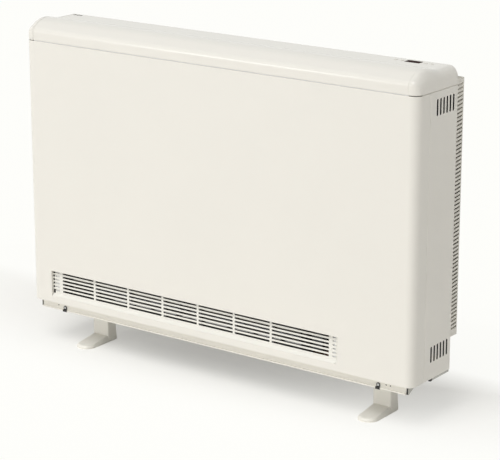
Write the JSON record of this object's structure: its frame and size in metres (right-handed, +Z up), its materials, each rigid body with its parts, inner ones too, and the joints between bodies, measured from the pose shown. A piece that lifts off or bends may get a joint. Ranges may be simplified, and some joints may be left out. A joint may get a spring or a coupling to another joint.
{
  "type": "storage heater",
  "caption": "Fan-assisted electric storage heater: slim white steel casing round a brick core, louvred front outlet, rounded top with display and keys, rear wall guard, moulded feet.",
  "frame": {"origin": "on the floor, under the middle of the heater's overall width and depth", "axes": "+X towards the right end seen from the front, -Y out of the front face, +Z up"},
  "size_m": [0.99, 0.176, 0.7314],
  "materials": {
    "white_enamel": "smooth warm-white stove enamel, semi-gloss",
    "cap_plastic": "moulded warm-white plastic, semi-gloss",
    "grille_enamel": "warm-white enamel on louvred sheet",
    "rail_enamel": "light warm-grey enamel, satin",
    "guard_enamel": "light warm-grey enamel, satin",
    "grey_sheet": "light grey painted sheet, satin",
    "zinc_sheet": "galvanised sheet steel, dull spangle",
    "foot_plastic": "moulded light warm-grey plastic, satin",
    "zinc_screw": "zinc-plated steel",
    "black_plastic": "black moulded plastic",
    "insulation_board": "pressed mineral fibre board, matt",
    "storage_brick": "dense iron-oxide storage brick, matt",
    "element_sheath": "heat-dulled stainless sheath",
    "white_ceramic": "unglazed white steatite",
    "terminal_brass": "plain brass",
    "fan_aluminium": "plain aluminium strip",
    "bright_steel": "ground bright steel",
    "bearing_rubber": "black rubber ring round a bronze bush",
    "motor_steel": "lacquered lamination steel",
    "coil_copper": "taped copper winding",
    "cream_plastic": "cream thermoset moulding",
    "red_plastic": "red moulded plastic",
    "circuit_board": "green solder resist",
    "dark_window": "dark red-brown display window, glossy",
    "key_plastic": "warm-white moulded key"
  },
  "bodies": {
    "casing": {"front_panel": "white_enamel", "left_side_panel": "white_enamel", "right_side_panel": "white_enamel", "back_panel": "grey_sheet", "base_tray": "zinc_sheet", "front_base_rail": "rail_enamel", "outlet_grille": "grille_enamel", "top_cover": "white_enamel", "left_end_cap": "cap_plastic", "right_end_cap": "cap_plastic", "rear_guard": "guard_enamel", "left_foot": "foot_plastic", "right_foot": "foot_plastic", "foot_screws": "zinc_screw", "panel_screws": "zinc_screw", "panel_clips": "black_plastic", "rear_screws": "zinc_screw", "core_shelf": "zinc_sheet", "shelf_legs": "zinc_sheet", "core_partition": "zinc_sheet", "base_insulation": "insulation_board", "front_insulation": "insulation_board", "rear_insulation": "insulation_board", "left_insulation": "insulation_board", "right_insulation": "insulation_board", "top_insulation": "insulation_board", "front_bricks": "storage_brick", "rear_bricks": "storage_brick", "heating_elements": "element_sheath", "element_bushes": "white_ceramic", "element_links": "terminal_brass", "boost_element": "element_sheath", "fan_housing": "zinc_sheet", "fan_bearing": "bearing_rubber", "motor_stator": "motor_steel", "motor_coil": "coil_copper", "damper_motor": "black_plastic", "terminal_block": "white_ceramic", "cable_gland": "black_plastic", "earth_stud": "terminal_brass", "core_cutout": "cream_plastic", "outlet_cutout": "black_plastic", "control_board": "circuit_board", "power_relays": "black_plastic", "board_standoffs": "cream_plastic", "display_board": "circuit_board", "button_switches": "black_plastic", "display_window": "dark_window", "room_sensor": "cream_plastic"},
    "fan": {"fan_impeller": "fan_aluminium", "fan_shaft": "bright_steel", "motor_rotor": "motor_steel"},
    "damper": {"damper_flap": "zinc_sheet", "damper_spindle": "bright_steel"},
    "minus_key": {"button_minus": "key_plastic"},
    "plus_key": {"button_plus": "key_plastic"},
    "mode_key": {"button_mode": "key_plastic"},
    "boost_key": {"button_boost": "key_plastic"},
    "reset_key": {"cutout_reset_button": "red_plastic"}
  },
  "joints": [
    {"name": "fan_spin", "type": "hinge", "parent": "casing", "child": "fan", "pos_m": [0, -0.026, 0.142], "axis": [1, 0, 0], "continuous": true},
    {"name": "damper_swing", "type": "hinge", "parent": "casing", "child": "damper", "pos_m": [0, 0.0372, 0.1916], "axis": [1, 0, 0], "range_deg": [0, 70]},
    {"name": "minus_press", "type": "slide", "parent": "casing", "child": "minus_key", "axis": [0, 0, -1], "range_m": [0, 0.0012], "stiffness_N_per_m": 600, "springref_m": -0.0006},
    {"name": "plus_press", "type": "slide", "parent": "casing", "child": "plus_key", "axis": [0, 0, -1], "range_m": [0, 0.0012], "stiffness_N_per_m": 600, "springref_m": -0.0006},
    {"name": "mode_press", "type": "slide", "parent": "casing", "child": "mode_key", "axis": [0, 0, -1], "range_m": [0, 0.0012], "stiffness_N_per_m": 600, "springref_m": -0.0006},
    {"name": "boost_press", "type": "slide", "parent": "casing", "child": "boost_key", "axis": [0, 0, -1], "range_m": [0, 0.0012], "stiffness_N_per_m": 600, "springref_m": -0.0006},
    {"name": "reset_press", "type": "slide", "parent": "casing", "child": "reset_key", "axis": [-1, 0, 0], "range_m": [0, 0.002], "stiffness_N_per_m": 500, "springref_m": -0.0008}
  ]
}
